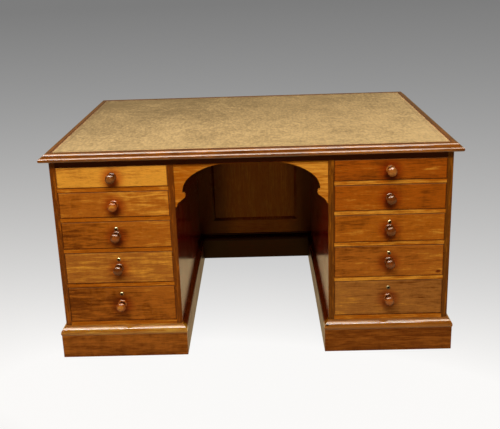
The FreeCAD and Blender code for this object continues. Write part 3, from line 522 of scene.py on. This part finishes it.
class DESK_OT_carcass(bpy.types.Operator):
    """Polish the sides, rails, apron and panelled backs"""

    bl_idname = "desk.carcass"
    bl_label = "Carcass"

    def execute(self, context):
        wood = context.scene.desk_wood
        sides = self.side_finish(wood)
        for side in SIDES:
            paint(f"{side}_pedestal_sides", sides)
        paint("drawer_rails", self.rail_finish(wood))
        paint("frieze_rail", self.frieze_finish(wood))
        paint("arched_apron", self.apron_finish(wood))
        self.paint_backs(wood)
        return {"FINISHED"}

    def rail_finish(self, wood):
        """Orange, with dark lines of dirt and painted shade in the gaps along the drawer fronts.
        """
        finish = Mahogany("drawer_rails", run_along("X"), 21.0, wood.polish)
        lean = finish.right_side(0.2) * 0.2 + 0.02
        colour = finish.streaks(wood.brown, wood.orange, wood.gold, lean, 0.8)
        # Dirt and painted shade in the gaps along the fronts.
        lines = finish.rise(self.front_edge_distance(finish), *RAIL_LINE)
        return finish.finished(finish.stain(lines * 0.85, colour, DEEP_SHADE_AND_DIRT))

    def frieze_finish(self, wood):
        """Dark with painted shade, because the top hangs over it."""
        finish = Mahogany("frieze_rail", run_along("X"), 23.0, wood.polish)
        colour = finish.streaks(wood.brown, wood.red, wood.orange, -0.6)
        return finish.finished(finish.stain(0.9, colour, OVERHANG_SHADE))

    def apron_finish(self, wood):
        """Like a front, and paler towards the right."""
        finish = Mahogany("arched_apron", run_along("X"), 31.0, wood.polish)
        low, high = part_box("arched_apron")
        lean = finish.rise(finish.x, low.x, high.x) * 0.18 + 0.06
        return finish.finished(finish.streaks(wood.brown, wood.orange, wood.gold, lean))

    def front_edge_distance(self, finish):
        """Height above or below the nearest long edge of a drawer front."""
        levels = []
        for number in DRAWERS:
            low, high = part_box(f"left_drawer_{number}_front")
            levels += [abs(finish.z - low.z), abs(finish.z - high.z)]
        return finish.smallest(*levels)

    def side_finish(self, wood):
        """The board's front edge is a stile with olive and orange streaks, its outer face is
        red brown and its kneehole face dark red, which is painted shade. Just over the plinth's
        moulding it has painted shade too."""
        moulding_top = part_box("plinth_moulding")[1].z
        finish = Mahogany("carcass_sides", run_along("Z"), 11.0, wood.polish, gloss=0.5)
        stile = finish.rise(finish.y - CARCASS_FRONT, *THIN)
        knee = (finish.rise(abs(finish.x), KNEE_HALF + 4 * SPARE, KNEE_HALF + SPARE)
                * (1.0 - stile) * (finish.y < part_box("back_frames")[1].y - KNEE_BACK_IN))
        face = finish.streaks(wood.brown, wood.red, wood.orange, 0.05, 1.1 - knee * 0.7)
        joint = finish.rise(abs(finish.x - (KNEE_HALF + SIDE_BOARD / 2)), *THIN)
        tint = tuple(dark / plain for dark, plain in zip(wood.shade, wood.red))
        # Painted shade: the kneehole face is darkened to dark red.
        face = finish.stain(knee, face, tint)
        edge = finish.streaks(wood.brown, wood.orange, wood.gold, -0.45, 0.9)
        right_side = finish.right_side(0.1)
        edge = finish.stain(joint * right_side * 0.7, edge, DIRT_AND_SHADE)
        edge = finish.stain(right_side, edge, OLIVE_CAST)
        colour = finish.blend(stile, face, edge)
        finish.roughness = wood.polish - knee * 0.12
        # Painted shade just over the plinth's moulding.
        corner = finish.rise(finish.z, moulding_top + CORNER_SHADE, moulding_top)
        colour = finish.stain(corner * 0.6, colour, DIRT_AND_SHADE)
        return finish.finished(colour)

    def paint_backs(self, wood):
        """Frames with upright stiles and level rails, their panels and the beads round them.
        Those of the kneehole are more golden, with painted shade towards its sides."""
        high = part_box("back_frames")[1]

        def frame_grain(finish, seed):
            across = abs(finish.x)
            outer = finish.smallest(across - (KNEE_HALF + SIDE_BOARD), high.x - across)
            outer_stile = (outer < BACK_STILE) * (across > KNEE_HALF)
            knee_stile = (across > KNEE_HALF - BACK_STILE) * (across < KNEE_HALF + SPARE)
            upright = finish.clamp(outer_stile + knee_stile)
            return either(finish, upright, stretched(finish, "Z", seed),
                          stretched(finish, "X", seed))

        for name, grain, seed, lean, slot in (
                ("back_frames", frame_grain, 41.0, -0.05, "carcass_mahogany"),
                ("back_panels", run_along("Z"), 43.0, 0.1, "carcass_mahogany"),
                ("panel_mouldings", run_along("Z"), 45.0, -0.25, "edging_mahogany")):
            finish = Mahogany(name, grain, seed, wood.polish * 0.8)
            face = finish.streaks(wood.brown, wood.red, wood.orange, lean, 0.9)
            knee = (finish.rise(abs(finish.x), KNEE_HALF + 2 * SPARE, KNEE_HALF)
                    * (finish.y < high.y - KNEE_BACK_IN))
            middle = between(wood.orange, wood.gold, 0.3)
            colour = finish.blend(knee, face, finish.streaks(wood.red, middle, wood.gold, lean))
            # Painted shade, deepest towards the sides of the kneehole's back.
            corner = finish.rise(abs(finish.x - KNEE_LIGHT), 0.1, 0.22) * knee
            paint(name, finish.finished(finish.stain(corner * 0.95, colour, DEEP_SHADE_AND_DIRT)))


def ring_grain(centre_x, half_x, centre_y, half_y):
    """Grain of mitred strips round a rectangle that is repeated at plus and minus centre_x. A
    board between the two runs level."""
    def grain(finish, seed):
        across = half_x - abs(abs(finish.x) - centre_x)
        along = half_y - abs(finish.y - centre_y)
        level = finish.clamp((along < across) + (across < -2 * SPARE))
        return either(finish, level, stretched(finish, "X", seed), stretched(finish, "Y", seed))
    return grain


class DESK_OT_plinth(bpy.types.Operator):
    """Polish the plinth and its moulding, darker near the floor and with painted shade in the
    kneehole
    """

    bl_idname = "desk.plinth"
    bl_label = "Plinth"

    def execute(self, context):
        wood = context.scene.desk_wood
        low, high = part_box("plinth_boards")
        grain = ring_grain((KNEE_HALF + high.x) / 2, (high.x - KNEE_HALF) / 2,
                           (low.y + high.y) / 2, (high.y - low.y) / 2)
        paint("plinth_boards", self.board_finish(wood, grain, high.y))
        paint("plinth_moulding", self.moulding_finish(wood, grain, high.y))
        return {"FINISHED"}

    def board_finish(self, wood, grain, rear):
        """Duller and more even on the right, scraped all over, darker towards the floor and with
        painted shade in the kneehole.
        """
        finish = Mahogany("plinth", grain, 51.0, wood.polish * 1.1)
        right_side = finish.right_side(0.2)
        middle = between(wood.orange, wood.faded, 0.5)
        colour = finish.streaks(wood.brown, middle, wood.gold, right_side * -0.14 - 0.21,
                                0.5, (1.0 - right_side) * 0.3 + 0.2)
        scrape = finish.rise(finish.noise(finish.placed((1, 1, 0.4)), 22.0, 4.0, 0.6), 0.03, 0.2)
        # Darker towards the floor.
        foot = finish.rise(finish.z, FOOT_DARKENING, 0.0)
        colour = finish.stain(finish.clamp(foot * 0.5 + scrape * 0.25), colour, DIRT_AND_SHADE)
        knee, back = self.knee_masks(finish, rear)
        ends = finish.rise(abs(finish.x - KNEE_LIGHT), 0.08, 0.22)
        # Painted shade in the kneehole, deeper along its back and at its sides.
        for share, tint in ((knee, SHADED), (back, SHADED), (back * ends, DEEP_SHADE_AND_DIRT)):
            colour = finish.stain(share, colour, tint)
        return finish.finished(colour)

    def moulding_finish(self, wood, grain, rear):
        """Glossy outside the kneehole, paler on the left, with painted shade on the lip and in
        the kneehole, and a knock.
        """
        finish = Mahogany("plinth_moulding", grain, 53.0, wood.polish * 0.75, coat=1.0, gloss=0.1)
        lean = 0.15 - finish.right_side(0.2) * 0.3
        colour = finish.streaks(wood.brown, wood.orange, wood.gold, lean)
        lip_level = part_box("plinth_moulding")[0].z
        # Painted shade on the lip of the moulding.
        lip = finish.rise(finish.z, lip_level + LIP_SHADE, lip_level)
        knee, back = self.knee_masks(finish, rear)
        # The last two stains are painted shade in the kneehole.
        for share, tint in ((1.0, OLIVE_CAST), (lip * 0.8, DIRT_AND_SHADE), (self.chip(finish), KNOCKED),
                            (knee, SHADED), (back, SHADED)):
            colour = finish.stain(share, colour, tint)
        finish.feed("Coat Weight", 1.0 - knee)
        return finish.finished(colour)

    def knee_masks(self, finish, rear):
        """Masks of painted shade: one is 1 between the pedestals, the other only along the back
        of the kneehole.
        """
        knee = (finish.rise(abs(finish.x), KNEE_HALF + SPARE, KNEE_HALF)
                * finish.rise(finish.y, CARCASS_FRONT, CARCASS_FRONT + 0.02))
        return knee, knee * finish.rise(rear - finish.y, *KNEE_SHADE)

    def chip(self, finish):
        """A small knock at the left front corner of the right pedestal's moulding."""
        low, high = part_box("plinth_moulding")
        corner = Vector((KNEE_HALF - PLINTH_PROUD, low.y, high.z))
        around = finish.node("VectorMath", {"operation": "DISTANCE"},
                             {0: finish.point, 1: corner + CHIP_IN}, 1)
        ragged = around + finish.noise(finish.point, 300.0) * 0.006
        return finish.rise(ragged, *CHIP)


class DESK_OT_top_edging(bpy.types.Operator):
    """Polish the mitred moulding of the top"""

    bl_idname = "desk.top_edging"
    bl_label = "Top edging"

    def execute(self, context):
        wood = context.scene.desk_wood
        low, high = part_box("top_edging")
        grain = ring_grain(0.0, high.x, (low.y + high.y) / 2, (high.y - low.y) / 2)
        finish = Mahogany("top_edging", grain, 61.0, wood.polish * 0.7, coat=1.0, gloss=0.1)
        colour = finish.streaks(wood.brown, wood.orange, wood.gold, -0.3)
        colour = finish.stain(0.6, colour, OLIVE_CAST)
        hide_low, hide_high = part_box("writing_leather")
        beside = edge_distance(finish, hide_low, hide_high, "XY")
        colour = finish.stain(finish.rise(beside, *BORDER_GRIME) * 0.7, colour, DIRT_AND_SHADE)
        paint("top_edging", finish.finished(colour))
        return {"FINISHED"}


def bare_wood(name, grain, colour, seed):
    """Planed wood without polish, stained a little by age."""
    finish = Finish(name, IOR=1.45, Specular_IOR_Level=0.3)
    where = grain(finish, seed)
    streak = finish.noise(where, 90.0, 4.0, 0.6, 0.2)
    fine = finish.noise(where, 700.0, 2.0)
    stain = finish.rise(finish.noise(finish.point, 6.0, 3.0), 0.0, 0.3)
    tone = finish.clamp(0.5 + streak * 1.8 + fine * 0.8 - stain * 0.4)
    finish.feed("Base Color", finish.blend(tone, between(colour, (0.0, 0.0, 0.0), 0.45), colour))
    finish.feed("Roughness", finish.clamp(0.62 + fine * 0.3))
    finish.bump(fine, 0.0002, 0.5)
    return finish.material


class DESK_OT_linings(bpy.types.Operator):
    """Bare wood for the drawer boxes, runners, dust boards, stops and blocks"""

    bl_idname = "desk.linings"
    bl_label = "Linings"

    def execute(self, context):
        wood = context.scene.desk_wood
        for side in SIDES:
            low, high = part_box(f"{side}_drawer_1_box")

            def box_grain(finish, seed, low=low, high=high):
                in_side = edge_distance(finish, low, high, "X") < DRAWER_SIDE
                return either(finish, in_side, stretched(finish, "Y", seed),
                              stretched(finish, "X", seed))

            lining = bare_wood(f"drawer_lining_{side}", box_grain, wood.lining, 71.0)
            for number in DRAWERS:
                paint(f"{side}_drawer_{number}_box", lining)
        pine = bare_wood("old_pine", run_along("Y"), wood.inside, 73.0)
        for name in ("drawer_runners", "dust_boards", "drawer_stops", "glue_blocks", "top_panel"):
            paint(name, pine)
        return {"FINISHED"}


class Metal(Finish):
    """Metal with small spots, and worn where they are strong."""

    def __init__(self, name):
        super().__init__(name, Metallic=1.0)
        self.spots = self.noise(self.point, 260.0, 4.0, 0.6)
        self.wear = self.rise(self.spots, -0.05, 0.2)


class DESK_OT_locks(bpy.types.Operator):
    """Brass for the locks, steel for the bolts, and screws in the locks"""

    bl_idname = "desk.locks"
    bl_label = "Locks"

    def execute(self, context):
        metal = context.scene.desk_metal
        brass = self.brass_finish(metal)
        steel = Metal("bolt_steel")
        steel.feed("Base Color", steel.blend(steel.wear, metal.steel, metal.patina))
        steel.feed("Roughness", steel.clamp(steel.wear * 0.3 + 0.38))
        steel.bump(steel.spots, 0.0001, 0.3)
        pattern = self.screw(metal.screw_head, metal.screw_slot)
        for side in SIDES:
            for number in LOCKED_DRAWERS:
                name = f"{side}_drawer_{number}"
                paint(f"{name}_lock", brass)
                paint(f"{name}_bolt", steel.material)
                self.fit_screws(pattern, name, brass)
        bpy.data.objects.remove(pattern)
        return {"FINISHED"}

    def brass_finish(self, metal):
        """Rubbed at the escutcheons and duller low down, most of all on the right, with dirt and
        painted shade round each keyhole.
        """
        brass = Metal("lock_brass")
        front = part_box("left_drawer_3_front")[0].y
        rubbed = brass.rise(brass.y, front + KEY_RUBBED, front)
        low_down = brass.rise(brass.z, 0.5, 0.2)
        right_side = brass.right_side(0.1)
        dull = brass.wear + low_down * (0.3 + right_side * 0.4) + 0.4 - rubbed * 0.5
        colour = brass.blend(brass.clamp(dull), metal.brass, metal.patina)
        eye = self.eye_distance(brass)
        # Dirt and painted shade round the keyhole.
        dark = brass.rise(eye, KEY_EYE + 0.0014, KEY_EYE) * rubbed
        brass.feed("Base Color", brass.stain(dark, colour, HOLLOW_SHADE_AND_DIRT))
        rough = brass.wear * 0.3 + low_down * right_side * 0.35 + 0.25
        brass.feed("Roughness", brass.clamp(rough))
        brass.bump(brass.rise(eye, KEY_EYE + 0.003, KEY_EYE) + brass.wear * 0.04, 0.001)
        return brass.material

    def screw(self, radius, slot):
        """A slotted head whose face looks along +Z, a little proud of the plate at zero."""
        bpy.ops.object.select_all(action="DESELECT")
        middle = SCREW_PROUD - SCREW_THICKNESS / 2
        bpy.ops.mesh.primitive_cylinder_add(vertices=SCREW_SIDES, radius=radius,
                                            depth=SCREW_THICKNESS, location=(0, 0, middle))
        head = bpy.context.object
        bpy.ops.object.transform_apply(location=True, rotation=False, scale=False)
        bpy.ops.object.mode_set(mode="EDIT")
        for across in (-slot / 2, slot / 2):
            bpy.ops.mesh.select_all(action="SELECT")
            bpy.ops.mesh.bisect(plane_co=(across, 0, 0), plane_no=(1, 0, 0))
        edit = bmesh.from_edit_mesh(head.data)
        for face in edit.faces:
            across = face.calc_center_median().x
            face.select_set(face.normal.z > 0.9 and abs(across) < slot / 2)
        bmesh.update_edit_mesh(head.data)
        bpy.ops.mesh.inset(thickness=slot * 0.2, depth=-SCREW_PROUD * 0.9)
        bpy.ops.object.mode_set(mode="OBJECT")
        return head

    def fit_screws(self, pattern, name, material):
        """Four screws in the lock's back plate and two in its top plate."""
        low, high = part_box(f"{name}_lock")
        middle = (low.x + high.x) / 2
        to_back = Matrix.Rotation(-math.pi / 2, 4, "X")
        copies = []
        for across in (-SCREW_ACROSS, SCREW_ACROSS):
            places = [Matrix.Translation((middle + across, high.y, high.z - drop)) @ to_back
                      for drop in SCREW_DROPS]
            places.append(Matrix.Translation((middle + across, high.y - SCREW_IN, high.z)))
            # The slots point in different directions.
            for turn, place in enumerate(places):
                screw = pattern.copy()
                screw.data = pattern.data.copy()
                bpy.context.scene.collection.objects.link(screw)
                slant = Matrix.Rotation(0.5 + turn * 0.9 + across * 20.0, 4, "Z")
                screw.matrix_world = place @ slant
                copies.append(screw)
        bpy.ops.object.select_all(action="DESELECT")
        for screw in copies:
            screw.select_set(True)
        bpy.context.view_layer.objects.active = copies[0]
        bpy.ops.object.join()
        bpy.ops.object.transform_apply(location=True, rotation=True, scale=True)
        screws = bpy.context.object
        screws.name = screws.data.name = f"{name}_lock_screws"
        screws.data.materials.append(material)
        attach(screws, name)

    def eye_distance(self, finish):
        """Distance from the nearest keyhole's middle, seen from the front."""
        found = []
        for side in SIDES:
            for number in LOCKED_DRAWERS:
                low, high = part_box(f"{side}_drawer_{number}_front")
                middle, level = (low.x + high.x) / 2, high.z - KEY_DROP
                found.append(finish.reach(finish.x - middle, finish.z - level))
        return finish.smallest(*found)


class DESK_OT_leather(bpy.types.Operator):
    """Lay the writing leather, with two tooled lines pressed in along its border"""

    bl_idname = "desk.leather"
    bl_label = "Leather"

    def execute(self, context):
        leather = context.scene.desk_leather
        low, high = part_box("writing_leather")
        bpy.ops.object.select_all(action="DESELECT")
        middle = (low + high) / 2
        bpy.ops.mesh.primitive_plane_add(size=1.0, location=(middle.x, middle.y, high.z))
        hide = bpy.context.object
        hide.name = hide.data.name = "tooled_leather"
        bpy.ops.object.mode_set(mode="EDIT")
        bpy.ops.transform.resize(value=(high.x - low.x, high.y - low.y, 1.0))
        half_line = leather.line_width / 2
        for start in (leather.line_inset, leather.line_gap):
            bpy.ops.mesh.inset(thickness=start, depth=0.0)
            bpy.ops.mesh.inset(thickness=half_line, depth=-leather.line_depth)
            bpy.ops.mesh.inset(thickness=half_line, depth=leather.line_depth)
        bpy.ops.object.mode_set(mode="OBJECT")
        bpy.ops.object.transform_apply(location=True, rotation=True, scale=True)
        body = hide.modifiers.new("thickness", "SOLIDIFY")
        body.thickness = leather.body
        body.offset = -1.0
        bpy.ops.object.modifier_apply(modifier=body.name)
        hide.data.materials.append(self.leather_finish(leather, low, high))
        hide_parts("writing_leather")
        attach(hide, "root")
        return {"FINISHED"}

    def leather_finish(self, leather, low, high):
        """Worn golden hide, mottled at several sizes, with ink in the tooled lines."""
        finish = Finish("writing_leather", IOR=1.45, Specular_IOR_Level=0.22)
        cloud = finish.noise(finish.point, 5.0, 2.0)
        patch = finish.noise(finish.point, 38.0, 3.0, 0.6, 0.6)
        speck = finish.noise(finish.placed((1.0, 0.5, 1.0)), 110.0, 2.0, 0.6)
        border = edge_distance(finish, low, high, "XY")
        rear = finish.rise(finish.y, low.y + 0.1, high.y) * finish.rise(finish.x, 1.6, -0.6)
        tone = (cloud * 0.5 + patch * 0.55 + speck * 0.85 - rear * 0.3
                + finish.right_side(0.6) * 0.1)
        worn = finish.rise(tone, -0.42, 0.38)
        colour = finish.blend(worn, leather.olive, leather.gold)
        first = leather.line_inset + leather.line_width / 2
        second = first + leather.line_width + leather.line_gap
        ink = finish.clamp((abs(border - first) < leather.line_width / 2)
                           + (abs(border - second) < leather.line_width / 2))
        colour = finish.blend(ink * 0.6, colour, leather.line)
        colour = finish.stain(finish.rise(border, HIDE_GRIME, 0.0), colour, HANDLING_AND_SHADE)
        finish.feed("Base Color", colour)
        finish.feed("Roughness", finish.clamp(0.46 + patch * 0.4))
        pebble = finish.node("TexVoronoi", None, {"Vector": finish.point, "Scale": 900.0})
        finish.bump(pebble + speck * 2.0, 0.00018, 0.5)
        return finish.material


# Where the photograph was taken from, in the desk's frame.
CAMERA_PLACE = Vector((0.03935, -2.50564, 1.3854))
CAMERA_YAW = math.radians(-1.04)
CAMERA_PITCH = math.radians(-13.98)
CAMERA_ROLL = math.radians(-1.91)
CAMERA_LENS = 46.124
CAMERA_SHIFT = (0.0013, -0.186)
# Each lamp's name, place, target, width, depth and power. The last one's light has a colour.
LAMPS = (
    ("lamp_front", (-0.3, -2.25, 2.85), (0.0, -0.15, 0.45), 3.4, 0.4, 134.0),
    ("lamp_left", (-2.6, 1.3, 2.6), (0.0, 0.0, 0.4), 1.2, 1.2, 34.0),
    ("lamp_right", (2.6, 1.3, 2.6), (0.0, 0.0, 0.4), 1.2, 1.2, 34.0),
    ("lamp_gloss", (-0.8, -0.9, 3.2), (-0.8, -0.901, 0.0), 6.0, 1.6, 370.0))
GLOSS_LIGHT = (0.95, 0.97, 0.84)
WORLD_LIGHT = (1.0, 0.85, 0.7, 1.0)
WORLD_STRENGTH = 0.12
FLOOR_VERTICES = 96
COVE_STEPS = 8
SAME_PLACE = 1e-4
# The pale part of the floor: its depth over its width, how it leans, how far it lies in front
# of the desk's middle and how slowly it fades.
PALE_STRETCH = 0.35
PALE_LEAN = 0.12
PALE_FRONT = 0.69
PALE_FADE = 0.745
# How much of the floor's look is its own glow, and what its lit share keeps of its colour.
FLOOR_GLOW = 0.92
FLOOR_LIT = 0.5


class DESK_OT_stage(bpy.types.Operator):
    """Pale floor and grey backdrop in one, soft lamps and the camera"""

    bl_idname = "desk.stage"
    bl_label = "Stage"

    def execute(self, context):
        self.make_floor(context.scene.desk_stage)
        self.make_lamps(context.scene)
        self.make_world(context.scene)
        self.make_camera(context.scene)
        context.scene.view_settings.view_transform = "Standard"
        return {"FINISHED"}

    def make_floor(self, stage):
        """A round floor whose rim curves up into a wall."""
        bpy.ops.object.select_all(action="DESELECT")
        bpy.ops.mesh.primitive_circle_add(vertices=FLOOR_VERTICES, radius=stage.floor_radius,
                                          fill_type="NGON")
        floor = bpy.context.object
        floor.name = floor.data.name = "studio_floor"
        bpy.ops.object.mode_set(mode="EDIT")
        rims = []
        for step in range(1, COVE_STEPS + 1):
            turn = math.pi / 2 * step / COVE_STEPS
            rims.append((stage.floor_radius + math.sin(turn) * stage.cove_radius,
                         (1 - math.cos(turn)) * stage.cove_radius))
        rims.append((rims[-1][0], rims[-1][1] + stage.wall_height))
        radius, height = stage.floor_radius, 0.0
        for new_radius, new_height in rims:
            bpy.ops.mesh.select_all(action="DESELECT")
            edit = bmesh.from_edit_mesh(floor.data)
            for edge in edit.edges:
                edge.select = all(abs(vert.co.xy.length - radius) < SAME_PLACE
                                  and abs(vert.co.z - height) < SAME_PLACE
                                  for vert in edge.verts)
            bmesh.update_edit_mesh(floor.data)
            bpy.ops.mesh.extrude_edges_move()
            grow = new_radius / radius
            bpy.ops.transform.resize(value=(grow, grow, 1.0), center_override=(0, 0, 0))
            bpy.ops.transform.translate(value=(0, 0, new_height - height))
            radius, height = new_radius, new_height
        bpy.ops.mesh.select_all(action="SELECT")
        bpy.ops.mesh.faces_shade_smooth()
        bpy.ops.object.mode_set(mode="OBJECT")
        floor.data.materials.append(self.floor_finish(stage))

    def floor_finish(self, stage):
        """White by the desk and grey far off. What the camera sees is mostly that colour itself,
        what reflections see is a tan, and the rest takes the desk's shadow."""
        finish = Finish("studio_floor", Roughness=0.9, Specular_IOR_Level=0.0)
        away = finish.reach(finish.x * PALE_STRETCH,
                            finish.y + finish.x * PALE_LEAN + PALE_FRONT)
        level = finish.clamp(stage.fade / (away + PALE_FADE) + stage.far_level)
        grey = finish.node("CombineXYZ", None, {"X": level, "Y": level, "Z": level})
        tan = finish.stain(1.0, grey, stage.tan)
        finish.feed("Base Color", finish.dim(tan, FLOOR_LIT))
        camera = finish.node("LightPath", output="Is Camera Ray")
        glossy = finish.node("LightPath", output="Is Glossy Ray")
        glow = finish.node("Emission", None, {"Color": finish.blend(camera, tan, grey),
                                              "Strength": 1.0})
        seen = finish.clamp(camera + glossy) * FLOOR_GLOW
        lit = Signal(finish, finish.shader.outputs[0])
        mixed = finish.node("MixShader", None, {0: seen, 1: lit, 2: glow})
        finish.tree.links.new(mixed.socket,
                              finish.tree.nodes["Material Output"].inputs["Surface"])
        return finish.material

    def make_lamps(self, scene):
        """One lamp above the sitter's side, weaker ones behind on the left and right, and one
        overhead that only the polish reflects."""
        for name, place, target, width, depth, power in LAMPS:
            light = bpy.data.lights.new(name, "AREA")
            light.shape = "RECTANGLE"
            light.size, light.size_y, light.energy = width, depth, power
            lamp = bpy.data.objects.new(name, light)
            if name == "lamp_gloss":
                lamp.visible_diffuse = False
                light.color = GLOSS_LIGHT
            scene.collection.objects.link(lamp)
            aim = (Vector(target) - Vector(place)).to_track_quat("-Z", "Y")
            lamp.matrix_world = Matrix.Translation(place) @ aim.to_matrix().to_4x4()

    def make_world(self, scene):
        world = bpy.data.worlds.new("studio")
        scene.world = world
        world.use_nodes = True
        background = world.node_tree.nodes["Background"]
        background.inputs["Color"].default_value = WORLD_LIGHT
        background.inputs["Strength"].default_value = WORLD_STRENGTH

    def make_camera(self, scene):
        forward = Vector((math.sin(CAMERA_YAW) * math.cos(CAMERA_PITCH),
                          math.cos(CAMERA_YAW) * math.cos(CAMERA_PITCH),
                          math.sin(CAMERA_PITCH)))
        right = Vector((math.cos(CAMERA_YAW), -math.sin(CAMERA_YAW), 0.0))
        up = right.cross(forward)
        level = Matrix((right, up, -forward)).transposed()
        turn = Matrix.Rotation(CAMERA_ROLL, 3, "Z")
        camera = bpy.data.objects.new("camera", bpy.data.cameras.new("camera"))
        scene.collection.objects.link(camera)
        camera.matrix_world = Matrix.Translation(CAMERA_PLACE) @ (level @ turn).to_4x4()
        camera.data.lens = CAMERA_LENS
        camera.data.shift_x, camera.data.shift_y = CAMERA_SHIFT
        scene.camera = camera


class DESK_PT_sidebar(bpy.types.Panel):
    """Buttons for each group of pieces"""

    bl_idname = "DESK_PT_sidebar"
    bl_label = "Library desk"
    bl_space_type = "VIEW_3D"
    bl_region_type = "UI"
    bl_category = "Desk"

    def draw(self, context):
        for operator in OPERATORS:
            self.layout.operator(operator.bl_idname)
        for name in SETTINGS:
            group = getattr(context.scene, name)
            for field in type(group).__annotations__:
                self.layout.prop(group, field)


SETTINGS = {"desk_wood": DESK_PG_wood, "desk_leather": DESK_PG_leather,
            "desk_metal": DESK_PG_metal, "desk_stage": DESK_PG_stage}
OPERATORS = (DESK_OT_drawer_fronts, DESK_OT_knobs, DESK_OT_carcass, DESK_OT_plinth,
             DESK_OT_top_edging, DESK_OT_linings, DESK_OT_locks, DESK_OT_leather, DESK_OT_stage)
CLASSES = (*SETTINGS.values(), *OPERATORS, DESK_PT_sidebar)


def register():
    for item in CLASSES:
        bpy.utils.register_class(item)
    for name, group in SETTINGS.items():
        setattr(bpy.types.Scene, name, PointerProperty(type=group))


def unregister():
    for name in SETTINGS:
        delattr(bpy.types.Scene, name)
    for item in reversed(CLASSES):
        bpy.utils.unregister_class(item)


def main():
    register()
    for operator in OPERATORS:
        group, name = operator.bl_idname.split(".")
        getattr(getattr(bpy.ops, group), name)()


if __name__ == "__main__":
    main()
